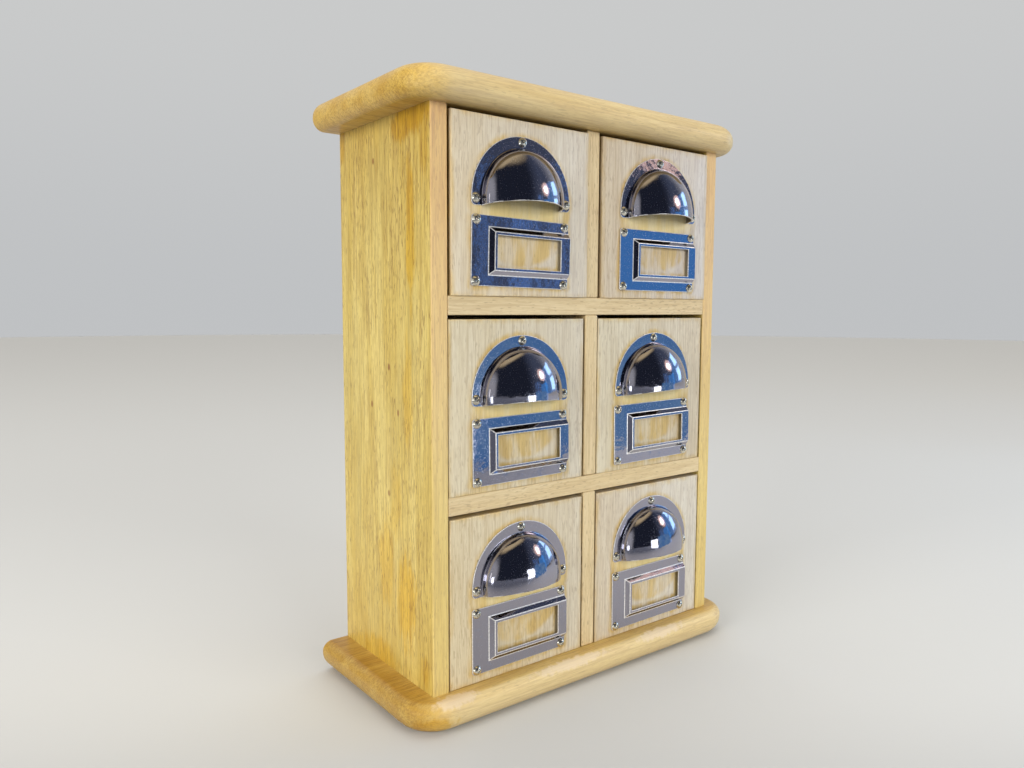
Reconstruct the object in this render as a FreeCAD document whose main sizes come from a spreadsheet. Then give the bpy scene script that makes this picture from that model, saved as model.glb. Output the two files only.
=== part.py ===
"""Small six-drawer spice cabinet: a doweled wooden carcass with a rounded top and base slab, and six
drawers, each with a pressed-metal cup pull and a label frame held by round-head screws.

Frame: X to the right, Y to the back, Z up. The origin is on the underside of the base slab, in the
middle of its footprint. The drawer fronts face -Y. Sizes are in millimetres.
"""
import FreeCAD, Part
import math
import os
import re

import Sketcher

SIZES = {
    # carcass
    "carcass_w": (200, "outside width over the two side boards"),
    "carcass_d": (92, "depth of the side boards"),
    "board_t": (9, "thickness of sides, shelves and dividers"),
    "opening_h": (86.5, "clear height of a drawer opening"),
    "slab_t": (16, "thickness of the top and base slabs"),
    "slab_side": (15, "how far a slab stands out past a side board"),
    "slab_front": (11, "how far a slab stands out past the drawer fronts"),
    "slab_corner": (21, "plan radius of a slab's two front corners"),
    "slab_flat": (0.7, "flat left between the two round overs of a slab's edge"),
    "top_upper_round": (9.2, "round over on the top slab's upper edge"),
    "base_upper_round": (5, "round over on the base slab's upper edge"),
    "back_t": (3, "thickness of the plywood back panel"),
    "rebate_w": (4, "width of the rebate that takes the back panel"),
    # dowels and panel pins
    "dowel_d": (5, "dowel diameter"),
    "dowel_fit": (0.05, "radial clearance round a dowel or a pin"),
    "dowel_end": (0.5, "empty depth of a bore beyond each end of its dowel"),
    "dowel_in_slab": (9, "dowel length inside a slab"),
    "dowel_in_board": (12, "dowel length inside a board's end grain"),
    "dowel_in_side": (6, "dowel length inside a side board's face"),
    "dowel_inset": (16, "dowel centre from a board's front or back edge"),
    "pin_d": (1.2, "panel pin shank diameter"),
    "pin_l": (14, "panel pin length, head included"),
    "pin_head_d": (2.4, "panel pin head diameter"),
    "pin_head_t": (0.8, "panel pin head thickness, driven flush"),
    "pin_spread": (22, "panel pin from the middle of its drawer bay"),
    # drawer boxes
    "side_gap": (0.8, "drawer to carcass clearance on each side"),
    "top_gap": (2, "drawer front to carcass clearance above"),
    "rear_gap": (1, "drawer to back panel clearance"),
    "front_t": (9, "drawer front thickness"),
    "front_ease": (0.7, "small round on the drawer front's edges"),
    "wall_t": (6, "thickness of drawer sides and back"),
    "wall_drop": (4.5, "drawer sides lower than the front"),
    "lap_cover": (4, "wood left in front of the laps that take the drawer sides"),
    "tray_t": (3, "thickness of the drawer bottom"),
    "tray_lift": (4, "drawer bottom above the lower edge of the sides"),
    "groove": (2.5, "depth of the grooves that hold the drawer bottom"),
    # cup pull
    "sheet_t": (0.8, "metal thickness of pull and label frame"),
    "pull_r": (30.3, "outer radius of the pull's flange"),
    "pull_leg": (3.8, "straight leg below the flange's half circle"),
    "pull_corner": (2, "corner radius at the foot of each leg"),
    "flange_w": (5.9, "width of the flange round the dome"),
    "dome_h": (14.5, "how far the dome stands out from the drawer"),
    "dome_shoulder": (9.5, "radius of the dome's shoulder, beside the flange"),
    "dome_blend": (0.6, "small radius where the dome meets the flange"),
    "rim_rise": (2.3, "how much higher the dome's rim is in front"),
    "pull_screw_in": (2.5, "lower pull screws from the flange's outer edge"),
    "pull_screw_z": (3.5, "lower pull screws above the flange's foot"),
    "pull_screw_top": (2.75, "upper pull screw below the flange's crown"),
    # label frame
    "label_under": (0.3, "each end of the label frame inside the pull's edge above it"),
    "label_h": (33.4, "label frame plate height"),
    "label_corner": (1.5, "corner radius of the plate"),
    "label_margin": (8.8, "flat plate left of the raised frame"),
    "label_rim": (4.35, "flat plate above and below the raised frame"),
    "raise_d": (2.6, "how far the raised frame stands out from the drawer"),
    "bevel_side": (3.8, "width of the bevel at the closed end"),
    "bevel_edge": (3.2, "width of the bevels above and below"),
    "lip_side": (1.6, "flat lip between the closed end's bevel and the window"),
    "lip_edge": (1.5, "flat lips above and below the window"),
    "window_bar": (6.1, "flat bar right of the window, at the open end"),
    "label_screw_in": (2.75, "label screws from the plate's ends"),
    "label_screw_up": (2.25, "label screws from the plate's upper and lower edges"),
    # round-head screws
    "screw_head_d": (5, "screw head diameter"),
    "screw_head_h": (1.7, "screw head height"),
    "screw_d": (2.4, "screw shank diameter"),
    "screw_gap": (0.3, "wood left between a screw's point and the drawer bottom"),
    "screw_tip": (2, "length of the screw's point"),
    "screw_fit": (0.05, "radial clearance round a screw"),
    "cross_l": (2.6, "length of each arm pair of the cross recess"),
    "cross_w": (0.6, "width of the cross recess"),
    "cross_d": (0.9, "depth of the cross recess"),
}

# How each drawer sits and how its hardware was screwed on by hand. Column is -1 left or +1 right, tier
# is counted from the bottom. Shifts are sideways, and proud is how far the drawer stands out at rest. The
# pull's lift is its foot above the front's middle, and the label's is its middle above the front's lower
# edge. Turns are in degrees, clockwise.
DRAWERS = {
    "top_left": dict(column=-1, tier=2, shift=0.5, proud=1.3,
                     pull_shift=-1.5, pull_lift=0.3, pull_turn=-0.7,
                     label_shift=-2, label_lift=21, label_turn=1),
    "top_right": dict(column=1, tier=2, shift=0.5, proud=1,
                      pull_shift=0.7, pull_lift=1.1, pull_turn=-0.2,
                      label_shift=0.4, label_lift=20.9, label_turn=0.3),
    "middle_left": dict(column=-1, tier=1, shift=-0.5, proud=0,
                        pull_shift=0.5, pull_lift=0.2, pull_turn=0.3,
                        label_shift=0.6, label_lift=20.3, label_turn=-0.7),
    "middle_right": dict(column=1, tier=1, shift=-0.5, proud=0,
                         pull_shift=0.9, pull_lift=0, pull_turn=-1.4,
                         label_shift=0.2, label_lift=20.3, label_turn=-0.8),
    "bottom_left": dict(column=-1, tier=0, shift=-0.2, proud=0,
                        pull_shift=0.4, pull_lift=1.5, pull_turn=-0.5,
                        label_shift=0, label_lift=21.4, label_turn=-0.3),
    "bottom_right": dict(column=1, tier=0, shift=0, proud=0,
                         pull_shift=0.6, pull_lift=1, pull_turn=-0.3,
                         label_shift=-0.1, label_lift=20.6, label_turn=-0.3),
}
OWN_SIZES = ("shift", "proud", "pull_shift", "pull_lift", "pull_turn",
             "label_shift", "label_lift", "label_turn")

# Rules worked out from the sizes, in the words of the sheet.
INNER_W = "(carcass_w - 2 * board_t)"
OPENING_W = "((carcass_w - 3 * board_t) / 2)"
PITCH = "(opening_h + board_t)"
INNER_H = "(3 * opening_h + 2 * board_t)"
FRONT_Y = "((slab_front - carcass_d) / 2)"
BACK_Y = f"({FRONT_Y} + carcass_d)"
BOARD_D = "(carcass_d - back_t)"
BAY_X = f"(({OPENING_W} + board_t) / 2)"
DRAWER_W = f"({OPENING_W} - 2 * side_gap)"
DRAWER_D = "(carcass_d - back_t - rear_gap)"
FRONT_H = "(opening_h - top_gap)"
WALL_H = f"({FRONT_H} - wall_drop)"
TRAY_W = f"({DRAWER_W} - 2 * wall_t + 2 * groove)"
DOME_R = "(pull_r - flange_w)"
LABEL_W = "(2 * pull_r - 2 * label_under)"
RAISE_H = "(label_h - 2 * label_rim)"
WINDOW_W = f"({LABEL_W} - label_margin - bevel_side - lip_side - window_bar)"
WINDOW_H = f"({RAISE_H} - 2 * bevel_edge - 2 * lip_edge)"
WINDOW_X = f"({LABEL_W} / 2 - window_bar - {WINDOW_W})"
SCREW_L = "(sheet_t + front_t - groove - screw_gap)"
RIM_SLOPE = "rim_rise / (dome_h - sheet_t)"

# Turns that lay a piece made along +Z along another axis.
UP = "rotation(vector(0; 0; 1); 0)"
ACROSS = "rotation(vector(0; 1; 0); 90)"
INWARD = "rotation(vector(1; 0; 0); -90)"
FORWARD = "rotation(vector(1; 0; 0); 90)"

doc = FreeCAD.newDocument("SpiceCabinet")
sheet = doc.addObject("Spreadsheet::Sheet", "Sizes")
aliases = []
nodes = []


def add_size(alias, value, note):
    row = len(aliases) + 1
    sheet.set(f"A{row}", note)
    sheet.set(f"B{row}", str(value))
    sheet.setAlias(f"B{row}", alias)
    aliases.append(alias)


def rule(text):
    """The same rule with each size read from the sheet."""
    return re.sub(r"[a-z][a-z_]*", lambda word: "Sizes." + word[0] if word[0] in aliases else word[0],
                  str(text))


def bind(thing, **rules):
    for name, text in rules.items():
        thing.setExpression(name, rule(text))
    return thing


def place(x=0, y=0, z=0, turn=UP):
    return f"placement(vector({x}; {y}; {z}); {turn})"


def node(thing, label, placement=None):
    """Keep a finished piece under its own name."""
    thing.Label = label
    if placement:
        bind(thing, Placement=placement)
    nodes.append(thing)
    return thing


def box(name, x, y, z, length, width, height, seat=""):
    """A board with its lower left front corner at x, y, z, in the frame of a seat if one is given."""
    corner = place(x, y, z)
    return bind(doc.addObject("Part::Box", name), Length=length, Width=width, Height=height,
                Placement=f"{seat} * {corner}" if seat else corner)


def cut(name, base, *tools):
    """The base with every tool taken out of it."""
    for number, tool in enumerate(tools, 1):
        step = doc.addObject("Part::Cut", name if number == len(tools) else f"{name}_cut_{number}")
        step.Base = base
        step.Tool = tool
        base = step
    return base


def spread(name, template, places):
    """One group of separate copies of a template, each at its own place."""
    links = []
    for number, placement in enumerate(places, 1):
        link = doc.addObject("App::Link", f"{name}_{number}")
        link.LinkedObject = template
        link.LinkTransform = True
        links.append(bind(link, Placement=placement))
    group = doc.addObject("Part::Compound", name)
    group.Links = links
    return group


def peg(name, radius, length, start=0):
    """A plain round peg along +Z, from start to start + length."""
    return bind(doc.addObject("Part::Cylinder", name), Radius=radius, Height=length,
                Placement=place(0, 0, start))


def feature(body, kind, name, placement=None, **rules):
    """One PartDesign primitive of a body."""
    step = body.newObject(f"PartDesign::{kind}", name)
    bind(step, **rules)
    if placement:
        bind(step, Placement=placement)
    doc.recompute()
    return step


def edges_where(shape, test):
    return [f"Edge{number}" for number, edge in enumerate(shape.Edges, 1) if test(edge)]


def fillet(body, name, radius, test):
    """Round the edges of the body's last feature that pass the test."""
    base = body.Tip
    step = body.newObject("PartDesign::Fillet", name)
    step.Base = (base, edges_where(base.Shape, test))
    bind(step, Radius=radius)
    doc.recompute()
    return step


def size(alias):
    return float(sheet.get(alias))


def near(one, other):
    return abs(one - other) < 1e-4


# ---- carcass -------------------------------------------------------------------------------------

def slab(name, floor_z, upper_round):
    """A slab with round front corners and a bullnose on its front and sides; the back is square."""
    body = doc.addObject("PartDesign::Body", name)
    feature(body, "AdditiveBox", name + "_blank",
            place("-carcass_w / 2 - slab_side", f"{FRONT_Y} - slab_front", floor_z),
            Length="carcass_w + 2 * slab_side", Width="carcass_d + slab_front", Height="slab_t")
    box_of = body.Tip.Shape.BoundBox

    def front_corner(edge):
        ends = edge.BoundBox
        return near(ends.YMin, box_of.YMin) and near(ends.YMax, box_of.YMin) and ends.ZLength > 1

    def rim_at(height):
        def test(edge):
            ends = edge.BoundBox
            flat = near(ends.ZMin, height) and near(ends.ZMax, height)
            return flat and not (near(ends.YMin, box_of.YMax) and near(ends.YMax, box_of.YMax))
        return test

    fillet(body, name + "_corners", "slab_corner", front_corner)
    fillet(body, name + "_upper_round", upper_round, rim_at(box_of.ZMax))
    fillet(body, name + "_lower_round", f"slab_t - slab_flat - {upper_round}", rim_at(box_of.ZMin))
    return body


def dowel_places():
    """Every dowel of the carcass as (kind, place of its lower or left end)."""
    rows = (f"{FRONT_Y} + dowel_inset", f"{FRONT_Y} + {BOARD_D} - dowel_inset")
    roof = f"slab_t + {INNER_H}"
    spots = []
    for y in rows:
        for x in ("(board_t - carcass_w) / 2", "0", "(carcass_w - board_t) / 2"):
            spots.append(("slab", place(x, y, "slab_t - dowel_in_slab")))
            spots.append(("slab", place(x, y, f"{roof} - dowel_in_board")))
        for tier in (1, 2):
            shelf_z = f"slab_t + {tier} * {PITCH} - board_t"
            spots.append(("divider", place(0, y, f"{shelf_z} - dowel_in_board")))
            for x in (f"-{INNER_W} / 2 - dowel_in_side", f"{INNER_W} / 2 - dowel_in_board"):
                spots.append(("shelf", place(x, y, f"{shelf_z} + board_t / 2", ACROSS)))
    return spots


def dowel_group(name, radius, extra):
    """All dowels in one group; extra lengthens both ends, for the bores."""
    lengths = {"slab": "dowel_in_slab + dowel_in_board",
               "divider": "2 * dowel_in_board + board_t",
               "shelf": "dowel_in_side + dowel_in_board"}
    spots = dowel_places()
    groups = []
    for kind, length in lengths.items():
        template = peg(f"{name}_{kind}_template", radius, f"{length} + 2 * ({extra})", f"-({extra})")
        groups.append(spread(f"{name}_{kind}", template, [at for which, at in spots if which == kind]))
    group = doc.addObject("Part::Compound", name)
    group.Links = groups
    return group


def pin_group(name, fit):
    """Panel pins through the back panel into the shelves and dividers, heads flush with the panel."""
    shank = peg(name + "_shank", f"pin_d / 2 + {fit}", f"pin_l + {fit}")
    head = peg(name + "_head", f"pin_head_d / 2 + {fit}", "pin_head_t")
    pin = doc.addObject("Part::Fuse", name + "_template")
    pin.Base = shank
    pin.Tool = head
    places = []
    for tier in (0, 1, 2):
        bay_z = f"slab_t + {tier} * {PITCH} + opening_h / 2"
        for z in (f"{bay_z} - pin_spread", f"{bay_z} + pin_spread"):
            places.append(place(0, BACK_Y, z, FORWARD))
    for tier in (1, 2):
        for side in (-1, 1):
            for x in (f"{side} * {BAY_X} - pin_spread", f"{side} * {BAY_X} + pin_spread"):
                places.append(place(x, BACK_Y, f"slab_t + {tier} * {PITCH} - board_t / 2", FORWARD))
    return spread(name, pin, places)


def carcass():
    dowels = dowel_group("dowels", "dowel_d / 2", "0")
    dowel_bores = dowel_group("dowel_bores", "dowel_d / 2 + dowel_fit", "dowel_end")
    pins = pin_group("pins", "0")
    pin_bores = pin_group("pin_bores", "dowel_fit")

    base = slab("base_blank", "0", "base_upper_round")
    top = slab("top_blank", f"slab_t + {INNER_H}", "top_upper_round")
    node(cut("base_drilled", base, dowel_bores), "base_slab")
    node(cut("top_drilled", top, dowel_bores), "top_slab")

    for name, x, rebate_x in (("left", "-carcass_w / 2", f"-{INNER_W} / 2 - rebate_w"),
                              ("right", "carcass_w / 2 - board_t", f"{INNER_W} / 2")):
        board = box(f"{name}_board", x, FRONT_Y, "slab_t", "board_t", "carcass_d", INNER_H)
        rebate = box(f"{name}_rebate", rebate_x, f"{BACK_Y} - back_t", "slab_t",
                     "rebate_w", "back_t", INNER_H)
        node(cut(f"{name}_drilled", board, rebate, dowel_bores), f"carcass_side_{name}")

    for tier, name in ((1, "lower"), (2, "upper")):
        board = box(f"shelf_{name}_board", f"-{INNER_W} / 2", FRONT_Y,
                    f"slab_t + {tier} * {PITCH} - board_t", INNER_W, BOARD_D, "board_t")
        node(cut(f"shelf_{name}_drilled", board, dowel_bores, pin_bores), f"shelf_{name}")

    for tier, name in enumerate(("lower", "middle", "upper")):
        board = box(f"divider_{name}_board", "-board_t / 2", FRONT_Y, f"slab_t + {tier} * {PITCH}",
                    "board_t", BOARD_D, "opening_h")
        node(cut(f"divider_{name}_drilled", board, dowel_bores, pin_bores), f"divider_{name}")

    panel = box("panel_blank", f"-{INNER_W} / 2 - rebate_w", f"{BACK_Y} - back_t", "slab_t",
                f"{INNER_W} + 2 * rebate_w", "back_t", INNER_H)
    node(cut("panel_drilled", panel, pin_bores), "back_panel")
    node(dowels, "carcass_dowels")
    node(pins, "back_panel_pins")


# ---- hardware ------------------------------------------------------------------------------------

PULL_SCREWS = (("pull_screw_in - pull_r", "pull_screw_z - pull_leg"),
               ("pull_r - pull_screw_in", "pull_screw_z - pull_leg"),
               ("0", "pull_r - pull_screw_top"))
LABEL_SCREWS = tuple((f"{side} * ({LABEL_W} / 2 - label_screw_in)", f"{level} * (label_h / 2 - label_screw_up)")
                     for side in (-1, 1) for level in (-1, 1))


def screw_template():
    """A round-head screw with a cross recess. The head's flat underside is at y = 0."""
    body = doc.addObject("PartDesign::Body", "screw")
    ball = "((screw_head_d ^ 2 / 4 + screw_head_h ^ 2) / (2 * screw_head_h))"
    feature(body, "AdditiveSphere", "screw_ball", place(0, f"{ball} - screw_head_h"), Radius=ball)
    feature(body, "SubtractiveBox", "screw_seat", place(f"-{ball}", 0, f"-{ball}"),
            Length=f"2 * {ball}", Width=f"2 * {ball}", Height=f"2 * {ball}")
    feature(body, "AdditiveCylinder", "screw_shank", place(turn=INWARD),
            Radius="screw_d / 2", Height=f"{SCREW_L} - screw_tip")
    feature(body, "AdditiveCone", "screw_point", place(0, f"{SCREW_L} - screw_tip", 0, INWARD),
            Radius1="screw_d / 2", Radius2="screw_d / 8", Height="screw_tip")
    for name, length, height in (("flat", "cross_l", "cross_w"), ("upright", "cross_w", "cross_l")):
        feature(body, "SubtractiveBox", f"cross_{name}",
                place(f"-{length} / 2", "-screw_head_h", f"-{height} / 2"),
                Length=length, Width="cross_d", Height=height)
    return body


def screw_bores(name, spots, depth):
    """Round bores along Y at a hardware piece's screw spots, from its front face to a depth."""
    bore = peg(f"{name}_bore", "screw_d / 2 + screw_fit", f"{depth} + sheet_t", "-sheet_t")
    return spread(f"{name}_bores", bore, [place(x, 0, z, INWARD) for x, z in spots])


def dome_section(body, name, trim):
    """Sketch in the YZ plane: half the dome's section, a tight shoulder arc that runs into a flat cap arc.

    The dome's axis lies along the sketch's horizontal axis. Trim moves the outline inwards by a distance.
    """
    sketch = body.newObject("Sketcher::SketchObject", name)
    sketch.AttachmentSupport = (next(plane for plane in body.Origin.OriginFeatures
                                     if plane.Role == "YZ_Plane"), [""])
    sketch.MapMode = "FlatFace"
    wide = size("pull_r") - size("flange_w")
    deep = size("dome_h")
    shoulder = size("dome_shoulder")
    cap = (wide ** 2 + deep ** 2 - 2 * wide * shoulder) / (2 * (deep - shoulder))
    middle = FreeCAD.Vector()
    upright = FreeCAD.Vector(0, 0, 1)
    shoulder_middle = FreeCAD.Vector(0, wide - shoulder, 0)
    cap_middle = FreeCAD.Vector(cap - deep, 0, 0)
    turn = math.atan2(shoulder_middle.y, -cap_middle.x)
    outline = [Part.ArcOfCircle(Part.Circle(shoulder_middle, upright, shoulder), math.pi / 2, turn),
               Part.ArcOfCircle(Part.Circle(cap_middle, upright, cap), turn, math.pi),
               Part.LineSegment(middle, FreeCAD.Vector(0, wide, 0)),
               Part.LineSegment(middle, FreeCAD.Vector(-deep, 0, 0))]
    shoulder_arc, cap_arc, rise, axis = sketch.addGeometry(outline, False)
    for kind, *where in (("Tangent", shoulder_arc, 2, cap_arc, 1), ("PointOnObject", shoulder_arc, 3, -2),
                         ("PointOnObject", cap_arc, 3, -1), ("Vertical", rise), ("Horizontal", axis),
                         ("Coincident", rise, 1, -1, 1), ("Coincident", rise, 2, shoulder_arc, 1),
                         ("Coincident", axis, 1, -1, 1), ("Coincident", axis, 2, cap_arc, 2)):
        sketch.addConstraint(Sketcher.Constraint(kind, *where))
    for kind, item, start, length in (("Distance", rise, wide, DOME_R), ("Distance", axis, deep, "dome_h"),
                                      ("Radius", shoulder_arc, shoulder, "dome_shoulder")):
        number = sketch.addConstraint(Sketcher.Constraint(kind, item, start))
        sketch.setExpression(f"Constraints[{number}]", rule(f"{length} - {trim}"))
    doc.recompute()
    return sketch


def revolve(body, kind, name, trim):
    """Turn the dome's section once round its axis, as metal or as hollow."""
    sketch = dome_section(body, name + "_section", trim)
    step = body.newObject(f"PartDesign::{kind}", name)
    step.Profile = sketch
    step.ReferenceAxis = (sketch, ["H_Axis"])
    step.Angle = 360
    doc.recompute()


def cup_pull(name):
    """A pressed cup pull, open below: half-round flange on two short legs, and a hollow quarter dome.

    Its own origin is where the dome's axis meets the drawer front.
    """
    body = doc.addObject("PartDesign::Body", name)
    feature(body, "AdditiveCylinder", name + "_flange", place(turn=FORWARD),
            Radius="pull_r", Height="sheet_t")
    feature(body, "AdditiveBox", name + "_legs", place("-pull_r", "-sheet_t", "-pull_leg"),
            Length="2 * pull_r", Width="sheet_t", Height="pull_leg")
    revolve(body, "Revolution", name + "_dome", "0")
    feature(body, "SubtractiveBox", name + "_seat", place("-pull_r", 0, "-pull_r"),
            Length="2 * pull_r", Width="dome_h", Height="2 * pull_r")
    feature(body, "SubtractiveBox", name + "_foot", place("-pull_r", "-dome_h", "-2 * pull_r - pull_leg"),
            Length="2 * pull_r", Width="dome_h", Height="2 * pull_r")
    face_y = -size("sheet_t")
    foot_z = -size("pull_leg")

    def leg_corner(edge):
        ends = edge.BoundBox
        return near(ends.ZMin, foot_z) and near(ends.ZMax, foot_z) and near(ends.YLength, -face_y) \
            and near(abs(ends.XMin), size("pull_r"))

    def dome_foot(edge):
        ends = edge.BoundBox
        return near(ends.YMin, face_y) and near(ends.YMax, face_y) and ends.ZLength > size("pull_leg") \
            and ends.ZMax < size("pull_r") - size("flange_w")

    fillet(body, name + "_corners", "pull_corner", leg_corner)
    fillet(body, name + "_blend", "dome_blend", dome_foot)
    feature(body, "SubtractiveBox", name + "_rim",
            place("-pull_r", "-sheet_t", "-pull_leg", f"rotation(vector(1; 0; 0); -atan({RIM_SLOPE}))")
            + " * " + place(0, "-2 * dome_h", "-2 * dome_h"),
            Length="2 * pull_r", Width="2 * dome_h", Height="2 * dome_h")
    revolve(body, "Groove", name + "_hollow", "sheet_t")
    return body


def label_frame(name):
    """A pressed label frame. Its raised part is bevelled above, below and at the left; the right end is
    open, so that a card slides in behind the lip. Its own origin is the middle of its seat."""
    body = doc.addObject("PartDesign::Body", name)
    feature(body, "AdditiveBox", name + "_plate", place(f"-{LABEL_W} / 2", "-sheet_t", "-label_h / 2"),
            Length=LABEL_W, Width="sheet_t", Height="label_h")
    fillet(body, name + "_corners", "label_corner", lambda edge: near(edge.BoundBox.YLength, edge.Length))
    left = f"label_margin - {LABEL_W} / 2"
    feature(body, "AdditiveWedge", name + "_raise", Ymin="-raise_d", Ymax="0",
            Xmin=f"{left} + bevel_side", Xmax=f"{LABEL_W} / 2",
            Zmin=f"bevel_edge - {RAISE_H} / 2", Zmax=f"{RAISE_H} / 2 - bevel_edge",
            X2min=left, X2max=f"{LABEL_W} / 2", Z2min=f"-{RAISE_H} / 2", Z2max=f"{RAISE_H} / 2")
    side_wall = "sheet_t * sqrt(raise_d ^ 2 + bevel_side ^ 2) / raise_d"
    edge_wall = "sheet_t * sqrt(raise_d ^ 2 + bevel_edge ^ 2) / raise_d"
    depth = "(raise_d - sheet_t)"
    mouth = f"{LABEL_W} / 2 + sheet_t"
    narrow = f"{RAISE_H} / 2 - {edge_wall} - bevel_edge * {depth} / raise_d"
    wide = f"{RAISE_H} / 2 - {edge_wall}"
    feature(body, "SubtractiveWedge", name + "_slot", Ymin=f"-{depth}", Ymax="0",
            Xmin=f"{left} + {side_wall} + bevel_side * {depth} / raise_d", Xmax=mouth,
            Zmin=f"-({narrow})", Zmax=narrow,
            X2min=f"{left} + {side_wall}", X2max=mouth, Z2min=f"-({wide})", Z2max=wide)
    feature(body, "SubtractiveBox", name + "_window", place(WINDOW_X, "-raise_d", f"-{WINDOW_H} / 2"),
            Length=WINDOW_W, Width="raise_d", Height=WINDOW_H)
    return body


# ---- drawers -------------------------------------------------------------------------------------

def front_board(name):
    """A drawer front with eased edges, lapped for the sides and grooved for the bottom."""
    body = doc.addObject("PartDesign::Body", name)
    feature(body, "AdditiveBox", name + "_board", place(f"-{DRAWER_W} / 2"),
            Length=DRAWER_W, Width="front_t", Height=FRONT_H)
    fillet(body, name + "_ease", "front_ease",
           lambda edge: near(edge.BoundBox.YMin, 0) and near(edge.BoundBox.YMax, 0))
    for side, x in (("left", f"-{DRAWER_W} / 2"), ("right", f"{DRAWER_W} / 2 - wall_t")):
        feature(body, "SubtractiveBox", f"{name}_lap_{side}", place(x, "lap_cover"),
                Length="wall_t", Width="front_t - lap_cover", Height=WALL_H)
    feature(body, "SubtractiveBox", name + "_groove",
            place(f"-{TRAY_W} / 2", "front_t - groove", "tray_lift"),
            Length=TRAY_W, Width="groove", Height="tray_t")
    return body


def drawer(name, screw):
    """One drawer with its hardware, built about the middle of its front's lower edge."""
    def own(text):
        return re.sub(r"OWN_", name + "_", text)

    column = DRAWERS[name]["column"]
    tier = DRAWERS[name]["tier"]
    seat = place(own(f"{column} * {BAY_X} + OWN_shift"), own(f"{FRONT_Y} - OWN_proud"),
                 f"slab_t + {tier} * {PITCH}")
    pull_seat = place(own("OWN_pull_shift"), 0, own(f"{FRONT_H} / 2 + OWN_pull_lift + pull_leg"),
                      own("rotation(vector(0; 1; 0); OWN_pull_turn)"))
    label_seat = place(own("OWN_label_shift"), 0, own("OWN_label_lift"),
                       own("rotation(vector(0; 1; 0); OWN_label_turn)"))

    pull_bores = bind(screw_bores(name + "_front_pull", PULL_SCREWS, SCREW_L), Placement=pull_seat)
    label_bores = bind(screw_bores(name + "_front_label", LABEL_SCREWS, SCREW_L), Placement=label_seat)
    front = cut(name + "_front_drilled", front_board(name + "_front_blank"), pull_bores, label_bores)
    node(front, name + "_front", seat)

    wall_y = "lap_cover"
    wall_d = f"{DRAWER_D} - lap_cover"
    for side, x, groove_x in (("left", f"-{DRAWER_W} / 2", f"-{TRAY_W} / 2"),
                              ("right", f"{DRAWER_W} / 2 - wall_t", f"{TRAY_W} / 2 - groove")):
        board = box(f"{name}_{side}_board", x, wall_y, 0, "wall_t", wall_d, WALL_H)
        groove = box(f"{name}_{side}_groove", groove_x, wall_y, "tray_lift", "groove", wall_d, "tray_t")
        node(cut(f"{name}_{side}_grooved", board, groove), f"{name}_side_{side}", seat)

    node(box(name + "_back_board", f"wall_t - {DRAWER_W} / 2", f"{DRAWER_D} - wall_t",
             "tray_lift + tray_t", f"{DRAWER_W} - 2 * wall_t", "wall_t",
             f"{WALL_H} - tray_lift - tray_t", seat), name + "_back")
    node(box(name + "_tray", f"-{TRAY_W} / 2", "front_t - groove", "tray_lift",
             TRAY_W, f"{DRAWER_D} - front_t + groove", "tray_t", seat), name + "_bottom")

    pull = cut(name + "_pull_drilled", cup_pull(name + "_pull_blank"),
               screw_bores(name + "_pull", PULL_SCREWS, "0"))
    node(pull, name + "_cup_pull", f"{seat} * {pull_seat}")
    label = cut(name + "_label_drilled", label_frame(name + "_label_blank"),
                screw_bores(name + "_label", LABEL_SCREWS, "0"))
    node(label, name + "_label_frame", f"{seat} * {label_seat}")

    screw_places = [f"{piece} * {place(x, '-sheet_t', z)}"
                    for piece, spots in ((pull_seat, PULL_SCREWS), (label_seat, LABEL_SCREWS))
                    for x, z in spots]
    node(spread(name + "_screw_group", screw, screw_places), name + "_screws", seat)


def check_and_export():
    """Stop if anything failed to build; then write each piece to its own file."""
    for thing in doc.Objects:
        if "Invalid" in thing.State or "Error" in thing.State:
            raise RuntimeError(f"{thing.Name} failed: {thing.State}")
    for thing in nodes:
        shape = thing.Shape
        if shape.isNull() or not shape.isValid() or not shape.Solids:
            raise RuntimeError(f"{thing.Label} has no sound shape")
    os.makedirs("parts", exist_ok=True)
    for thing in nodes:
        thing.Shape.exportStep(f"parts/{thing.Label}.step")
        print(f"{thing.Label}: {len(thing.Shape.Solids)} solid(s), {thing.Shape.Volume / 1000:.2f} cm3")


for alias, (value, note) in SIZES.items():
    add_size(alias, value, note)
for name, own_sizes in DRAWERS.items():
    for key in OWN_SIZES:
        add_size(f"{name}_{key}", own_sizes[key], f"{name.replace('_', ' ')} drawer: {key}")
doc.recompute()
carcass()
screw = screw_template()
for name in DRAWERS:
    drawer(name, screw)
doc.recompute()
check_and_export()
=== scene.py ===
# %% [markdown]
# # A spice drawer cabinet, dressed
# The cabinet's measured solids are already packed as a frame. This lesson gives that frame its looks:
# softened timber, pressed and plated hardware, and screws, and it lights them plainly. Nothing here changes
# a size. Every new piece lies inside the solid that it stands for, and moves with the same body.

import math
import random

import bmesh
import bpy
from mathutils import Matrix, Vector, noise


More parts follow.
